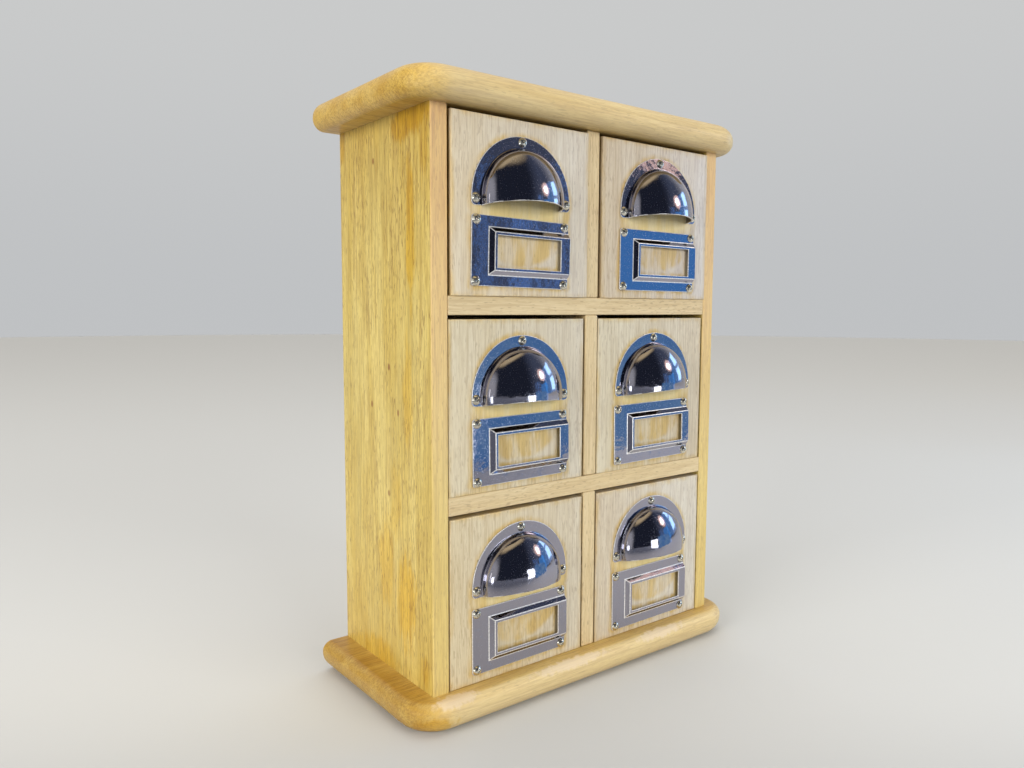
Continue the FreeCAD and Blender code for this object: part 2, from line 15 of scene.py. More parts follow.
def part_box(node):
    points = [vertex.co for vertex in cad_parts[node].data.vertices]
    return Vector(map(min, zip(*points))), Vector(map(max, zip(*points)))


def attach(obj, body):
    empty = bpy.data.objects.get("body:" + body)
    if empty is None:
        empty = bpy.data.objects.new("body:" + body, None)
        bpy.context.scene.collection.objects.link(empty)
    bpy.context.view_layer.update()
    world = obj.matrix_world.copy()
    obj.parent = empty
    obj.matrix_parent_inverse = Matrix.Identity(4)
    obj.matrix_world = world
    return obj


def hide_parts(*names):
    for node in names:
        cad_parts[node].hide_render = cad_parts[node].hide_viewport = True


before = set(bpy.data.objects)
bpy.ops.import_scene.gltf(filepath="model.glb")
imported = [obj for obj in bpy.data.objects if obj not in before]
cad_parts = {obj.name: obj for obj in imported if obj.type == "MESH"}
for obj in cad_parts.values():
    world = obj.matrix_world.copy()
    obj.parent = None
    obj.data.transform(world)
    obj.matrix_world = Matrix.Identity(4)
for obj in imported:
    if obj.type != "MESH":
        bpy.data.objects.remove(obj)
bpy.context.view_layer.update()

# %% [markdown]
# ## Units, colours and small helpers
# A maker thinks in millimetres and in colours as a screen shows them. Blender wants metres and linear light.
# Two short helpers convert, so that later values read as workshop values.

# %% Units and colours
MM = 0.001
ROWS = ("bottom", "middle", "top")
SIDES = ("left", "right")
DRAWERS = [f"{row}_{side}" for row in ROWS for side in SIDES]


def mm(*values):
    """Millimetres to a vector in metres."""
    return Vector(values) * MM


def shade(red, green, blue):
    """A colour as a screen shows it, 0 to 255, made linear for a shader."""
    linear = []
    for value in (red, green, blue):
        part = value / 255
        linear.append(part / 12.92 if part <= 0.04045 else ((part + 0.055) / 1.055) ** 2.4)
    return (*linear, 1)


# %% [markdown]
# ## Reading places from the frame
# The pulls, label frames and screws sit a little off and a little turned on each drawer, as hand-fitted
# hardware does. Each loose solid of a mesh is found by walking along its edges, and its box gives its place.

# %% Loose solids of a frame node
def merged_copy(node):
    """A bmesh of a frame node with its loose triangles joined up."""
    form = bmesh.new()
    form.from_mesh(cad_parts[node].data)
    bmesh.ops.remove_doubles(form, verts=form.verts, dist=0.002 * MM)
    return form


def loose_boxes(node):
    """The lowest and highest corner of each separate solid in a node."""
    form = merged_copy(node)
    form.verts.ensure_lookup_table()
    seen = set()
    boxes = []
    for start in form.verts:
        if start.index in seen:
            continue
        seen.add(start.index)
        island = [start]
        for vert in island:
            for edge in vert.link_edges:
                other = edge.other_vert(vert)
                if other.index not in seen:
                    seen.add(other.index)
                    island.append(other)
        low = Vector([min(v.co[k] for v in island) for k in range(3)])
        high = Vector([max(v.co[k] for v in island) for k in range(3)])
        boxes.append((low, high))
    form.free()
    return boxes


# %% Where each drawer's hardware sits
HEAD_HEIGHT = 1.7
PLATE = 0.8
PULL_SCREW_UP = -0.3


def hardware_places(drawer):
    """The screw points of a drawer, the middle and lean of its pull, and the middle of its label frame."""
    points = [Vector(((low.x + high.x) / 2, low.y + HEAD_HEIGHT * MM, (low.z + high.z) / 2))
              for low, high in loose_boxes(drawer + "_screws")]
    points.sort(key=lambda point: -point.z)
    feet = sorted(points[1:3], key=lambda point: point.x)
    pull_lean = math.atan2(feet[1].z - feet[0].z, feet[1].x - feet[0].x)
    pull_middle = (feet[0] + feet[1]) / 2
    pull_middle += Matrix.Rotation(-pull_lean, 3, "Y") @ Vector((0, PLATE * MM, -PULL_SCREW_UP * MM))
    label_middle = sum(points[3:7], Vector()) / 4 + Vector((0, PLATE * MM, 0))
    return {"screws": points, "pull": pull_middle, "pull_lean": pull_lean, "label": label_middle}


PLACES = {drawer: hardware_places(drawer) for drawer in DRAWERS}
for drawer, spot in PLACES.items():
    pull = spot["pull"] / MM
    print(f"{drawer}: pull at {pull.x:.1f}, {pull.z:.1f} mm, lean {math.degrees(spot['pull_lean']):.1f} deg")

# %% [markdown]
# ## Camera
# The camera stands close to the cabinet's left front corner, a little above its middle, with a wide lens.
# Its place and lens were worked out from the cabinet's straight edges, where parallel boards run together.

# %% Camera
CAMERA_AT = (-0.293948, -0.353080, 0.200878)
CAMERA_YAW = math.radians(37.574)
CAMERA_PITCH = math.radians(5.351)
CAMERA_ROLL = -0.0035
CAMERA_LENS = 28.115


def object_of(name, data):
    """A new object for a mesh, a lamp or a camera, at the origin."""
    item = bpy.data.objects.new(name, data)
    bpy.context.scene.collection.objects.link(item)
    return item


camera_data = bpy.data.cameras.new("camera")
camera_data.lens = CAMERA_LENS
camera_data.sensor_width = 36
camera_data.clip_start = 0.01
camera = object_of("camera", camera_data)
turned_to = Matrix.Rotation(-CAMERA_YAW, 4, "Z") @ Matrix.Rotation(math.pi / 2 - CAMERA_PITCH, 4, "X")
turned_to @= Matrix.Rotation(-CAMERA_ROLL, 4, "Z")
camera.matrix_world = Matrix.Translation(CAMERA_AT) @ turned_to
bpy.context.scene.camera = camera
bpy.context.scene.view_settings.view_transform = "Standard"
print("camera looks along", [round(-part, 3) for part in turned_to.col[2][:3]])

# %% [markdown]
# ## Nodes with less typing
# Materials here are built from nodes in code. These helpers add to the one tree that is on the bench. Every
# input takes a plain value or another node's output, so a material reads like a recipe.

# %% Node helpers
class Bench:
    """The node tree that is being built."""
    tree = None


def put(value, socket):
    """Set a socket to a value, or link another node's output to it."""
    if isinstance(value, bpy.types.NodeSocket):
        Bench.tree.links.new(value, socket)
    else:
        socket.default_value = value


def add(kind, settings=None, *values, **inputs):
    """One node. Values fill its first inputs, the others go by socket name with _ for a space."""
    item = Bench.tree.nodes.new(kind)
    for key, value in (settings or {}).items():
        setattr(item, key, value)
    for number, value in enumerate(values):
        put(value, item.inputs[number])
    for key, value in inputs.items():
        put(value, item.inputs[key.replace("_", " ")])
    return item


def sum_of(operation, *values, clamp=False):
    """One Math node's output."""
    return add("ShaderNodeMath", {"operation": operation, "use_clamp": clamp}, *values).outputs[0]


def times(one, other):
    """Two values multiplied."""
    return sum_of("MULTIPLY", one, other)


def vector_sum(operation, *values):
    """One Vector Math node's output: a vector, or a value for a length."""
    item = add("ShaderNodeVectorMath", {"operation": operation}, *values)
    return item.outputs["Value" if operation in ("LENGTH", "DOT_PRODUCT") else "Vector"]


def fade(value, start, end, low=0.0, high=1.0):
    """A smooth step of a value from start to end."""
    settings = {"interpolation_type": "SMOOTHSTEP"}
    return add("ShaderNodeMapRange", settings, value, start, end, low, high).outputs[0]


def mix(factor, one, other, mode="MIX"):
    """Two colours mixed. A Mix node has its colours in inputs 6 and 7, after those of other kinds."""
    item = add("ShaderNodeMix", {"data_type": "RGBA", "blend_type": mode})
    for number, value in ((0, factor), (6, one), (7, other)):
        put(value, item.inputs[number])
    return item.outputs[2]


def laid_on(colour, mask, share, tone):
    """A tone laid over a colour where a mask is, up to a share."""
    return mix(times(mask, share), colour, tone)


def stained(colour, mask, share, film):
    """A film over a colour, so that the grain still shows, where a mask is, up to a share."""
    return mix(times(mask, share), colour, film, mode="MULTIPLY")


def along(vector, letter):
    """One part of a vector: X, Y or Z."""
    return add("ShaderNodeSeparateXYZ", Vector=vector).outputs[letter]


def cloud(vector, stretch, detail=2.0, distortion=0.0):
    """Noise whose grain is stretched: stretch is how many lumps there are in a metre, each way."""
    scaled = vector_sum("MULTIPLY", vector, stretch)
    return add("ShaderNodeTexNoise", Vector=scaled, Scale=1.0, Detail=detail, Roughness=0.55,
               Distortion=distortion).outputs[0]


def new_group(name, inputs, outputs, kind="ShaderNodeTree"):
    """Put an empty group with named sockets on the bench. Returns it, its inputs and its outputs."""
    group = bpy.data.node_groups.new(name, kind)
    for direction, sockets in (("INPUT", inputs), ("OUTPUT", outputs)):
        for label, content in sockets.items():
            group.interface.new_socket(label, in_out=direction, socket_type="NodeSocket" + content)
    Bench.tree = group
    return group, add("NodeGroupInput").outputs, add("NodeGroupOutput").inputs


def use_group(group, **inputs):
    """Place a shader group in the tree on the bench."""
    return add("ShaderNodeGroup", {"node_tree": group}, **inputs).outputs


def blank(data, place="Object"):
    """Put a material's or world's emptied tree on the bench. Returns it and where each of its points is."""
    data.use_nodes = True
    data.node_tree.nodes.clear()
    Bench.tree = data.node_tree
    return data, add("ShaderNodeTexCoord").outputs[place]


def close(shader, kind="ShaderNodeOutputMaterial"):
    """Link the last shader to the output."""
    put(shader.outputs[0], add(kind).inputs["Surface"])


# %% [markdown]
# ## Wood grain as a shader group
# The cabinet is a pale, open-pored hardwood. It has slow bands of colour, fibres about a millimetre apart,
# very fine fibres, and short brown pores that lie along the grain. All four are noise that is stretched
# along Z. Being solid, the noise also gives speckled end grain where a board is cut across. One group serves
# every board, and each board brings its own colours.

# %% The grain group
grain_group, wood_in, wood_out = new_group(
    "wood grain",
    {"Vector": "Vector", "Pale": "Color", "Mid": "Color", "Dark": "Color", "Pore": "Color", "Fibres": "Float",
     "Pores": "Float"},
    {"Color": "Color", "Height": "Float", "Roughness": "Float"})
bands = cloud(wood_in["Vector"], (90, 90, 9), detail=5.0, distortion=0.4)
fibres = cloud(wood_in["Vector"], (950, 950, 34), detail=3.0, distortion=0.15)
hairs = cloud(wood_in["Vector"], (2300, 2300, 130), detail=2.0)
dashes = cloud(wood_in["Vector"], (1500, 1500, 210), detail=1.0)
patches = cloud(wood_in["Vector"], (60, 60, 14), detail=2.0)
crowding = fade(patches, 0.4, 0.64, 0.035, -0.03)
pore_floor = sum_of("ADD", 0.6, crowding)
pore_full = sum_of("ADD", pore_floor, 0.08)
pores = fade(dashes, pore_floor, pore_full)
band_mask = fade(bands, 0.34, 0.66)
ground = mix(band_mask, wood_in["Pale"], wood_in["Mid"])
hair_share = times(wood_in["Fibres"], 0.7)
for mask, share, tone in ((fade(fibres, 0.44, 0.64), wood_in["Fibres"], "Dark"),
                          (fade(hairs, 0.42, 0.66), hair_share, "Dark"),
                          (pores, wood_in["Pores"], "Pore")):
    ground = laid_on(ground, mask, share, wood_in[tone])
put(ground, wood_out["Color"])
raised = sum_of("SUBTRACT", times(fibres, 0.6), pores)
put(sum_of("MULTIPLY_ADD", hairs, 0.3, raised), wood_out["Height"])
put(fade(hairs, 0.3, 0.7, 0.4, 0.56), wood_out["Roughness"])
print("grain group nodes:", len(grain_group.nodes))

# %% [markdown]
# ## Stains as masks
# Old varnish has pooled and yellowed: in ragged patches on the flat boards, and as a halo wherever a plate
# or an edge kept the polishing cloth away. Both are masks only, so each material chooses its own stain. The
# patch is a distance to a point, roughened by noise. The halo is the distance to a rounded rectangle, which
# is a disc when its corners are as round as it is wide.

# %% The patch group
patch_group, patch_in, patch_out = new_group(
    "stain patch", {"Vector": "Vector", "Centre": "Vector", "Reach": "Vector", "Ragged": "Float"},
    {"Mask": "Float"})
offset = vector_sum("SUBTRACT", patch_in["Vector"], patch_in["Centre"])
scaled = vector_sum("DIVIDE", offset, patch_in["Reach"])
away = vector_sum("LENGTH", scaled)
rough = sum_of("SUBTRACT", cloud(patch_in["Vector"], (330, 330, 60), detail=4.0), 0.5)
away = sum_of("MULTIPLY_ADD", rough, patch_in["Ragged"], away)
put(fade(away, 1.0, 0.5), patch_out["Mask"])


# The drawer fronts also use this patch to place painted light under each pull.
def patch_mask(place, centre, reach, ragged):
    """A ragged patch round a point. Its reach each way is in mm."""
    return use_group(patch_group, Vector=place, Centre=centre, Reach=mm(*reach), Ragged=ragged)["Mask"]


# %% The halo group
halo_group, halo_in, halo_out = new_group(
    "halo", {"Vector": "Vector", "Centre": "Vector", "Half": "Vector", "Round": "Float", "Fade": "Float"},
    {"Outside": "Float", "Edge": "Float"})
offset = vector_sum("ABSOLUTE", vector_sum("SUBTRACT", halo_in["Vector"], halo_in["Centre"]))
beyond = vector_sum("SUBTRACT", offset, halo_in["Half"])
past_x, past_z = (sum_of("ADD", along(beyond, letter), halo_in["Round"]) for letter in "XZ")
nearest = add("ShaderNodeCombineXYZ", X=sum_of("MAXIMUM", past_x, 0.0),
              Z=sum_of("MAXIMUM", past_z, 0.0))
inside = sum_of("MINIMUM", sum_of("MAXIMUM", past_x, past_z), 0.0)
gap = sum_of("ADD", vector_sum("LENGTH", nearest.outputs[0]), inside)
gap = sum_of("SUBTRACT", gap, halo_in["Round"])
wander = sum_of("SUBTRACT", cloud(halo_in["Vector"], (260, 260, 120), detail=3.0), 0.5)
gap = sum_of("MULTIPLY_ADD", wander, halo_in["Fade"], gap)
put(fade(gap, halo_in["Fade"], 0.0), halo_out["Outside"])
put(fade(gap, times(halo_in["Fade"], -1.0), 0.0), halo_out["Edge"])


def halo(place, centre, half, corner, reach):
    """A halo round a rounded rectangle. Its half width, depth and height, corner and reach are in mm."""
    return use_group(halo_group, Vector=place, Centre=centre, Half=mm(*half), Round=corner * MM,
                     Fade=reach * MM)


print("nodes in the patch and halo groups:", len(patch_group.nodes), len(halo_group.nodes))

# %% [markdown]
# ## Plain boards
# Each board gets its own offset into the noise, so no two look cut from the same spot, and a turn that lays
# the grain along it. The finish is a thin satin varnish: a clear coat over a rougher ground. A stain is a
# film that multiplies the wood's colour, so that the grain still shows through it.

# %% A varnished board
ALONG_Z = (0, 0, 0)
ALONG_X = (0, math.radians(90), 0)
ALONG_Y = (math.radians(90), 0, 0)
SIDE_TONES = (shade(228, 206, 124), shade(214, 188, 98), shade(158, 124, 56), shade(132, 94, 40))
FACE_TONES = (shade(226, 206, 162), shade(212, 188, 138), shade(166, 132, 80), shade(122, 84, 44))
SLAB_TONES = (shade(222, 198, 134), shade(206, 176, 104), shade(156, 118, 60), shade(122, 86, 42))
FRONT_TONES = (shade(228, 219, 196), shade(214, 200, 168), shade(164, 140, 104), shade(128, 98, 64))
TRAY_TONES = (shade(222, 204, 164), shade(208, 184, 136), shade(170, 138, 88), shade(128, 90, 50))
AMBER_FILM = (0.84, 0.66, 0.12, 1)
HONEY_FILM = (0.92, 0.75, 0.38, 1)
YELLOW_FILM = (0.98, 0.82, 0.3, 1)
GOLDEN_FILM = (0.86, 0.75, 0.46, 1)
OLIVE_FILM = (0.76, 0.72, 0.62, 1)
TAN_FILM = (0.95, 0.82, 0.38, 1)


def board_material(name, tones, turn, seed, fibres=0.45, pores=0.6, stain=None, coat=0.25):
    """Varnished wood. The stain function may lay colour over the plain grain, and on a drawer front painted
    light too.
    """
    material, place = blank(bpy.data.materials.new(name))
    source = random.Random(seed)
    shift = tuple(source.uniform(-3, 3) for _ in range(3))
    turned = add("ShaderNodeMapping", Vector=place, Rotation=turn, Location=shift).outputs[0]
    pale, mid, dark, pore = tones
    wood = use_group(grain_group, Vector=turned, Pale=pale, Mid=mid, Dark=dark, Pore=pore,
                     Fibres=fibres, Pores=pores)
    colour = wood["Color"]
    if stain:
        colour = stain(place, colour)
    bump = add("ShaderNodeBump", Strength=0.5, Distance=0.00006, Height=wood["Height"])
    surface = add("ShaderNodeBsdfPrincipled", Base_Color=colour, Roughness=wood["Roughness"],
                  Normal=bump.outputs[0], Coat_Weight=coat, Coat_Roughness=0.28, IOR=1.45)
    close(surface)
    return material


# %% [markdown]
# ## The side boards' stains
# The left side shows the most age: amber patches where the top slab's glue squeezed out, yellow streaks
# below them and by the base, and five pin knots. Where patches of one kind overlap, only the strongest
# counts, as varnish soaks in only once. The front edges are a pinker cut of the same wood.

# %% Stains of the sides
AMBER_PATCHES = ((-26, 291, 20, 12, 1.0), (-15, 287, 13, 10, 0.9), (-35, 277, 5, 22, 0.6),
                 (48, 290, 4, 14, 0.7), (-33, 26, 5, 10, 0.6))
YELLOW_PATCHES = ((-22, 236, 5, 44, 1.0), (-19, 160, 6, 34, 0.6), (14, 20, 24, 10, 0.7),
                  (-16, 56, 12, 30, 1.0), (4, 72, 9, 32, 0.7), (-6, 104, 6, 26, 0.5))
KNOTS = ((13.8, 274.4), (-0.4, 171.9), (18.2, 151.6), (-9.0, 149.7), (1.1, 107.7))
LEFT_FACE = -100
STAIN_DEEP = 30
CARCASS_FRONT = -40.5


def front_edge_mask(place):
    """Where a carcass board shows its front edge."""
    return fade(along(place, "Y"), (CARCASS_FRONT + 1.0) * MM, (CARCASS_FRONT + 0.2) * MM)


def side_patch(place, y, z, deep, high, ragged):
    """A ragged patch on the left face."""
    return patch_mask(place, mm(LEFT_FACE, y, z), (STAIN_DEEP, deep, high), ragged)


def strongest_patch(place, patches):
    """The strongest of several patches at each point. Each is its Y and Z, its reach and its strength."""
    mask = 0.0
    for y, z, deep, high, strength in patches:
        mask = sum_of("MAXIMUM", mask, times(side_patch(place, y, z, deep, high, 1.4), strength))
    return mask


def side_stain(place, colour):
    """Glue and varnish stains, knots and a pinker front edge."""
    green = cloud(place, (70, 70, 9), detail=3.0)
    colour = mix(fade(green, 0.46, 0.66, 0.0, 0.25), colour, shade(196, 180, 112))
    for patches, film in ((YELLOW_PATCHES, YELLOW_FILM), (AMBER_PATCHES, AMBER_FILM)):
        colour = mix(strongest_patch(place, patches), colour, film, mode="MULTIPLY")
    for y, z in KNOTS:
        colour = laid_on(colour, side_patch(place, y, z, 1.3, 2.2, 0.6), 0.8, shade(140, 84, 34))
    height = along(place, "Z")
    for start, end, share in ((0.1, 0.02, 0.45), (0.2, 0.29, 0.5)):
        colour = mix(fade(height, start, end, 0.0, share), colour, GOLDEN_FILM, mode="MULTIPLY")
    blush = mix(fade(height, 0.06, 0.25), shade(232, 206, 136), shade(240, 198, 156))
    return laid_on(colour, front_edge_mask(place), 0.5, blush)


def edge_stain(place, colour):
    """Shelves and dividers: a paler, polished front edge."""
    return laid_on(colour, front_edge_mask(place), 0.4, shade(226, 204, 160))


side_wood = {side: board_material(f"side board wood {side}", SIDE_TONES, ALONG_Z, 3 + number, 0.5,
                                  stain=side_stain)
             for number, side in enumerate(SIDES)}
print("side materials:", len(side_wood))

# %% [markdown]
# ## The slabs' wood
# The slabs' grain runs across the cabinet, so their ends show end grain and their front shows long streaks.
# The left end is yellower and the front paler. The base has a browner upper face and left end, worn pale
# patches along its front, and an amber patch low on its corner.

# %% Stains of the slabs
BASE_TOP = (0.0153, 0.0159)
WORN_PATCHES = (((-92, -48, 16), (16, 6, 4)), ((-20, -50, 15), (30, 4, 4)), ((50, -50, 15), (24, 4, 4)))


def slab_stain(place, colour):
    """Yellower towards the left end, paler along the front."""
    pale = fade(along(place, "Y"), -0.036, -0.05)
    colour = laid_on(colour, pale, 0.4, shade(230, 208, 164))
    yellow = fade(along(place, "X"), -0.09, -0.112)
    mottle = cloud(place, (110, 60, 110), detail=6.0, distortion=0.5)
    return stained(colour, yellow, fade(mottle, 0.34, 0.66, 0.62, 1.0), TAN_FILM)


def base_stain(place, colour):
    """The base as well has a browner upper face and left end, worn patches and an amber one."""
    colour = slab_stain(place, colour)
    upper_face = fade(along(place, "Z"), *BASE_TOP)
    colour = stained(colour, upper_face, 0.8, GOLDEN_FILM)
    left_end = fade(along(place, "X"), -0.098, -0.112)
    colour = mix(left_end, colour, OLIVE_FILM, mode="MULTIPLY")
    for centre, reach in WORN_PATCHES:
        worn = patch_mask(place, mm(*centre), reach, 1.6)
        colour = laid_on(colour, worn, 0.6, shade(226, 206, 178))
    amber = patch_mask(place, mm(-106, -48, 5), (16, 12, 6), 1.2)
    return stained(colour, amber, 0.8, AMBER_FILM)


top_wood = board_material("top slab wood", SLAB_TONES, ALONG_X, 11, pores=0.35, stain=slab_stain)
base_wood = board_material("base slab wood", SLAB_TONES, ALONG_X, 12, pores=0.35, stain=base_stain)

# %% [markdown]
# ## The drawer fronts' wood
# The fronts are the palest wood, polished between the hardware and left amber beside it. Their halos follow
# the pull, the label frame and the board's own edge, so each drawer needs a material of its own, made from
# the places that were read from the frame. Just under each pull a pale yellow patch is painted light: it
# lifts the wood that the dome shades, as the light that the dome reflects onto it would.

# %% Six front materials
THROUGH = 50
PULL_RADIUS = 30.3
LABEL_HALF = (30.0, THROUGH, 16.7)
WINDOW_HALF = (19.85, THROUGH, 7.65)
WINDOW_SHIFT = 4.05
FRONT_HALF = (42.45, THROUGH, 42.25)
FRONT_TINTS = {"top_left": (shade(228, 212, 182), shade(216, 210, 200)),
               "top_right": (shade(200, 182, 156), shade(208, 204, 206)),
               "middle_left": (shade(218, 204, 168), shade(206, 198, 180)),
               "middle_right": (shade(212, 202, 174), shade(206, 194, 172)),
               "bottom_left": (shade(218, 200, 158), shade(206, 194, 170)),
               "bottom_right": (shade(208, 194, 172), shade(214, 210, 202))}


def front_stain_and_light_for(drawer):
    """The stain function of one drawer front, with painted light under its pull."""
    spot = PLACES[drawer]
    low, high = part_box(drawer + "_front")
    middle = (Vector(low) + Vector(high)) / 2

    def front_stain_and_light(place, colour):
        left_tint, right_tint = FRONT_TINTS[drawer]
        across_front = fade(along(place, "X"), low[0], high[0])
        colour = mix(0.5, colour, mix(across_front, left_tint, right_tint))
        pull = halo(place, spot["pull"], (PULL_RADIUS, THROUGH, PULL_RADIUS), PULL_RADIUS, 3.2)
        label = halo(place, spot["label"], LABEL_HALF, 1.5, 3.4)
        window = halo(place, spot["label"] + mm(WINDOW_SHIFT, 0, 0), WINDOW_HALF, 1.0, 2.4)
        core = sum_of("SUBTRACT", 1.0, window["Edge"])
        ring = sum_of("SUBTRACT", label["Outside"], core, clamp=True)
        ring = sum_of("MAXIMUM", ring, pull["Outside"])
        rub = cloud(place, (150, 150, 40), detail=4.0)
        ring_share = fade(rub, 0.34, 0.6, 0.25, 1.0)
        colour = stained(colour, ring, ring_share, HONEY_FILM)
        # Painted light: a pale yellow patch just under the pull lifts the wood in the dome's shade, standing
        # in for light that the dome reflects onto it.
        painted_light_under_pull = patch_mask(place, spot["pull"] - mm(0, 0, 3), (34, THROUGH, 14), 0.4)
        colour = laid_on(colour, painted_light_under_pull, 0.5, shade(250, 230, 158))
        rim = halo(place, middle, FRONT_HALF, 0.7, 3.0)
        rim_share = fade(rub, 0.35, 0.65, 0.1, 0.7)
        return stained(colour, rim["Edge"], rim_share, HONEY_FILM)

    return front_stain_and_light


front_wood = {drawer: board_material(f"drawer front wood {drawer}", FRONT_TONES, ALONG_Z, 20 + number,
                                     0.6, 0.55, front_stain_and_light_for(drawer))
              for number, drawer in enumerate(DRAWERS)}
print("front materials:", len(front_wood))

# %% [markdown]
# ## Plated metal
# The pulls and label frames are pressed sheet with a bright nickel-chrome plating. Chromium reflects a
# little over half of the light, which is why real chrome looks dark beside silver. The plating is hazy in
# spots, slightly dented from the press, and speckled. Its folds and edges have a paler, half metallic metal
# of their own, which paints the bright lines that polished plating catches there as highlights.

# %% The plating group and the metals
plating_group, plate_in, plate_out = new_group(
    "plating wear", {"Vector": "Vector"}, {"Haze": "Float", "Height": "Float", "Spots": "Float"})
smear = cloud(plate_in["Vector"], (380, 380, 300), detail=8.0, distortion=0.2)
specks = cloud(plate_in["Vector"], (2400, 2400, 1500), detail=3.0)
dents = cloud(plate_in["Vector"], (150, 150, 150), detail=2.5)
put(fade(smear, 0.5, 0.85), plate_out["Haze"])
put(fade(specks, 0.54, 0.7), plate_out["Spots"])
put(sum_of("MULTIPLY_ADD", specks, 0.08, dents), plate_out["Height"])
print("plating group nodes:", len(plating_group.nodes))


def metal(name, bright, dull, shine, hazy, dent, seed, metallic=1.0):
    """Bare or plated metal with haze, specks and slight dents."""
    material, place = blank(bpy.data.materials.new(name))
    moved = add("ShaderNodeMapping", Vector=place, Location=(seed, 0, -seed)).outputs[0]
    wear = use_group(plating_group, Vector=moved)
    colour = mix(wear["Haze"], bright, dull)
    rough = sum_of("MULTIPLY_ADD", wear["Haze"], hazy, shine)
    rough = sum_of("MULTIPLY_ADD", wear["Spots"], hazy * 1.6, rough)
    bump = add("ShaderNodeBump", Strength=1.0, Distance=dent * MM, Height=wear["Height"])
    surface = add("ShaderNodeBsdfPrincipled", Base_Color=colour, Roughness=rough, Metallic=metallic,
                  Normal=bump.outputs[0])
    close(surface)
    return material


chrome = metal("bright plating", shade(166, 163, 174), shade(158, 162, 180), 0.03, 0.17, 0.09, 1.0)
# The edge metal is paler and half metallic, so that folds and edges show painted highlight lines.
edge_highlight_metal = metal("worn plating edge", shade(236, 234, 232), shade(206, 202, 200), 0.2, 0.2, 0.02, 1.5, 0.5)
screw_metal = metal("screw metal", shade(222, 217, 202), shade(168, 160, 140), 0.1, 0.14, 0.01, 2.0, 0.94)
pin_metal = metal("pin metal", shade(170, 168, 164), shade(120, 116, 110), 0.35, 0.2, 0.02, 3.0)

# %% [markdown]
# ## Finishing a mesh
# Every piece ends the same way: a mesh at the origin, smooth where it should be, with its material and the
# body that it rides on. Weighted normals keep big faces flat in a highlight beside small bevels.

# %% Piece helpers
def baked(name, item):
    """A plain mesh of an object with all its modifiers done."""
    graph = bpy.context.evaluated_depsgraph_get()
    mesh = bpy.data.meshes.new_from_object(item.evaluated_get(graph), preserve_all_data_layers=True,
                                           depsgraph=graph)
    mesh.name = name
    return mesh


def solid_of(name, form):
    """A new object at the origin from a bmesh."""
    mesh = bpy.data.meshes.new(name)
    form.to_mesh(mesh)
    form.free()
    return object_of(name, mesh)


def worked(item, kind, **settings):
    """Run one modifier on an object and keep the result as its plain mesh."""
    step = item.modifiers.new(kind, kind)
    for key, value in settings.items():
        setattr(step, key, value)
    mesh = baked(item.data.name, item)
    item.modifiers.clear()
    item.data = mesh
    return item


def smooth(item, sharp_above=40):
    """Smooth shading with weighted normals, sharp at the steeper edges."""
    item.data.shade_smooth()
    item.data.set_sharp_from_angle(angle=math.radians(sharp_above))
    return worked(item, "WEIGHTED_NORMAL", keep_sharp=True)


def skin(form, rings):
    """Join ring to ring and close both ends."""
    for lower, upper in zip(rings, rings[1:]):
        for number in range(len(lower)):
            after = (number + 1) % len(lower)
            form.faces.new((lower[number], lower[after], upper[after], upper[number]))
    form.faces.new(reversed(rings[0]))
    form.faces.new(rings[-1])
    bmesh.ops.recalc_face_normals(form, faces=form.faces)


def finish_piece(item, materials, body, node):
    """Give a piece its materials and its body, and hide the node that it stands for."""
    while len(item.data.materials) < len(materials):
        item.data.materials.append(None)
    for number, material in enumerate(materials):
        item.data.materials[number] = material
    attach(item, body)
    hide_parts(node)
    print(item.name, "faces:", len(item.data.polygons))


# %% [markdown]
# ## The two slabs
# A slab's front corners are round and its front and side edges are rounded over by hand, while its back is
# sawn square. Each ring of points is the same outline drawn in by a different amount, following the two
# round-overs from the lower face to the upper. Joining ring to ring gives one closed skin. A little slow
# noise draws the rings in further, as hand sanding does, so highlights aren't ruler straight.

# %% Slab rings
CORNER = 21
CORNER_STEPS = 18
ROUND_STEPS = 9
SLAB_FLAT = 0.7
CREASE = 12
CREASE_SHOWS = 9.9
SIDE_STEPS = 24
FRONT_STEPS = 60
SANDING = 0.22
SANDING_LUMPS = 28
SLAB_END_X = 90
SLAB_BACK = 20


def outline(low, high, inset):
    """Plan of a slab, drawn in by inset on its front and sides, from its back left to its back right."""
    left, right = low.x + inset, high.x - inset
    front = low.y + inset
    radius = CORNER * MM - inset
    side_run = high.y - low.y - CORNER * MM
    points = [Vector((left, high.y - side_run * step / SIDE_STEPS)) for step in range(SIDE_STEPS)]
    for step in range(CORNER_STEPS + 1):
        angle = math.pi + math.pi / 2 * step / CORNER_STEPS
        points.append(Vector((left + radius + radius * math.cos(angle),
                              front + radius + radius * math.sin(angle))))
    mirrored = [Vector((low.x + high.x - point.x, point.y)) for point in reversed(points)]
    run = (right - radius) - (left + radius)
    points += [Vector((left + radius + run * step / FRONT_STEPS, front)) for step in range(1, FRONT_STEPS)]
    return points + mirrored


def slab_rings(low, high, upper_round):
    """Inset and height of each ring in mm, from the lower face to the upper."""
    thick = (high.z - low.z) / MM
    lower_round = thick - SLAB_FLAT - upper_round
    rings = []
    for step in range(ROUND_STEPS + 1):
        angle = math.pi / 2 * step / ROUND_STEPS
        rings.append((lower_round * (1 - math.sin(angle)), lower_round * (1 - math.cos(angle))))
    span = math.radians(90 - CREASE)
    for step in range(ROUND_STEPS + 1):
        angle = span * step / ROUND_STEPS
        drawn_in = upper_round * (1 - math.cos(angle)) / (1 - math.cos(span))
        climb = upper_round * math.sin(angle) / math.sin(span)
        rings.append((drawn_in, thick - upper_round + climb))
    return rings


